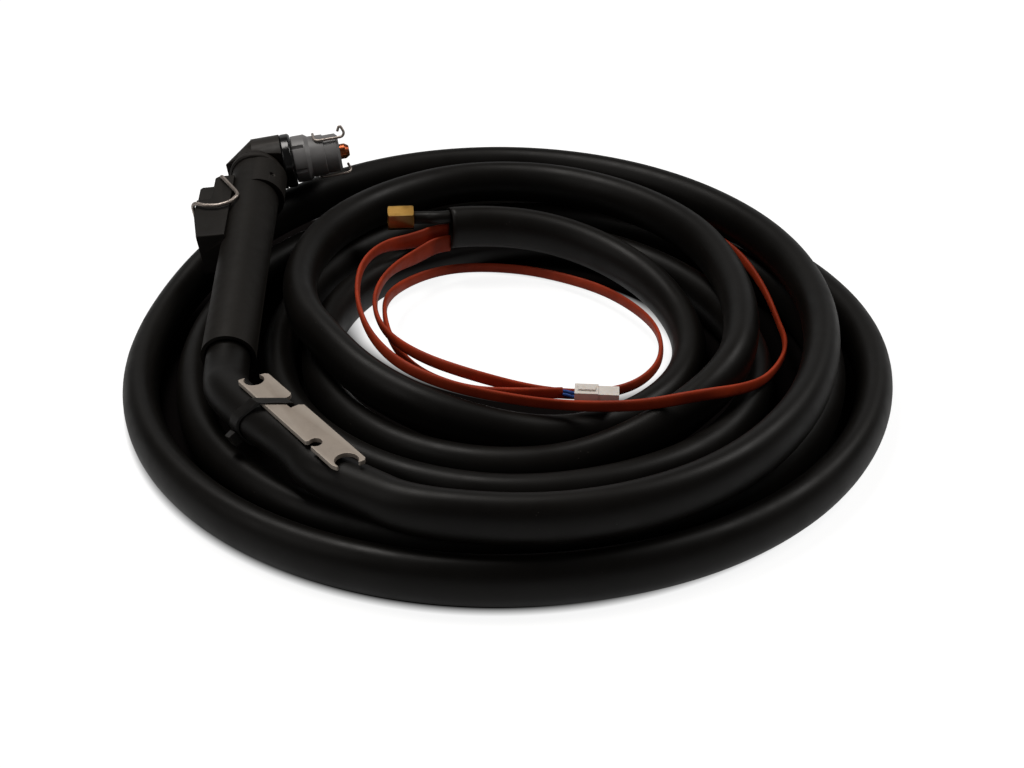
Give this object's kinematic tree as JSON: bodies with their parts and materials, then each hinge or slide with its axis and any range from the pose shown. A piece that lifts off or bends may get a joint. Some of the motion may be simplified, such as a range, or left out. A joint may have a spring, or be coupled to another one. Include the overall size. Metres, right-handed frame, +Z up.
{
  "type": "hand cutting torch with coiled lead",
  "caption": "Hand torch with copper nozzle, trigger and wire safety bail, lying on its own coiled black lead with power union, sleeved leads and a flat spanner.",
  "frame": {"origin": "on the floor under the middle of the coiled lead", "axes": "+Z up, +X to the right of the pictured view, +Y away from the viewer"},
  "size_m": [0.4414, 0.4238, 0.0951],
  "materials": {
    "lead_rubber": "matte black rubber sheath with a soft sheen",
    "orange_sleeve": "orange insulating sleeve, satin",
    "blue_wire": "blue insulated wire, satin",
    "handle_plastic": "dark grey moulded plastic, fine matte texture",
    "button_plastic": "black moulded button",
    "head_plastic": "dark grey heat-resistant moulding",
    "gloss_black": "glossy black ring",
    "cap_grey": "mid grey heat-resistant plastic, satin",
    "copper": "turned copper, lightly tarnished",
    "brass": "machined brass",
    "bright_steel": "bright steel wire",
    "spanner_steel": "stamped steel, dull plating",
    "plated_steel": "plated sheet steel",
    "tie_nylon": "black nylon",
    "clear_nylon": "milky translucent nylon",
    "seal_rubber": "black seal rubber",
    "switch_plastic": "moulded switch case"
  },
  "bodies": {
    "base": {"blue_wire_left": "blue_wire", "blue_wire_right": "blue_wire", "button_spring_lower": "bright_steel", "button_spring_upper": "bright_steel", "cap_o_ring": "seal_rubber", "cathode_body": "brass", "connector_housing": "clear_nylon", "contact_pin_a": "plated_steel", "contact_pin_b": "plated_steel", "electrode": "copper", "electrode_insert": "bright_steel", "flat_spanner": "spanner_steel", "gas_hose": "lead_rubber", "gas_tube": "brass", "gloss_ring": "gloss_black", "handle_screw": "bright_steel", "handle_shell_lower": "handle_plastic", "handle_shell_upper": "handle_plastic", "head_elbow": "head_plastic", "hose_nipple": "brass", "insulator_sleeve": "cap_grey", "lead_clamp": "plated_steel", "lead_coil": "lead_rubber", "lead_free": "lead_rubber", "lead_inner": "lead_rubber", "neck_ring": "head_plastic", "nozzle": "copper", "nozzle_cap": "cap_grey", "orange_lead_a": "orange_sleeve", "orange_lead_b": "orange_sleeve", "standoff_clip": "bright_steel", "swirl_ring": "cap_grey", "switch_bracket": "plated_steel", "tie_band": "tie_nylon", "tie_head": "tie_nylon", "trigger_switch": "switch_plastic"},
    "button": {"trigger_button": "button_plastic"},
    "plunger": {"switch_plunger": "switch_plastic"},
    "bail": {"safety_bail": "bright_steel"},
    "nut": {"union_nut": "brass"}
  },
  "joints": [
    {"name": "button_slide", "type": "slide", "parent": "base", "child": "button", "axis": [0.9957, 0.0339, 0.0866], "range_m": [0, 0.002], "stiffness_N_per_m": 600, "springref_m": -0.002, "deforming": ["button_spring_lower", "button_spring_upper"]},
    {"name": "plunger_slide", "type": "slide", "parent": "base", "child": "plunger", "axis": [0.9957, 0.0339, 0.0866], "range_m": [0, 0.002]},
    {"name": "bail_hinge", "type": "hinge", "parent": "base", "child": "bail", "pos_m": [-0.172, 0.09887, 0.06349], "axis": [0.0806, 0.1489, -0.9856], "range_deg": [0, 75]},
    {"name": "nut_swivel", "type": "hinge", "parent": "base", "child": "nut", "pos_m": [-0.0635, 0.105, 0.046], "axis": [-0.9943, -0.1045, 0.02], "continuous": true}
  ],
  "couplings": [
    {"joint": "plunger_slide", "follows": "button_slide", "ratio": 1}
  ]
}
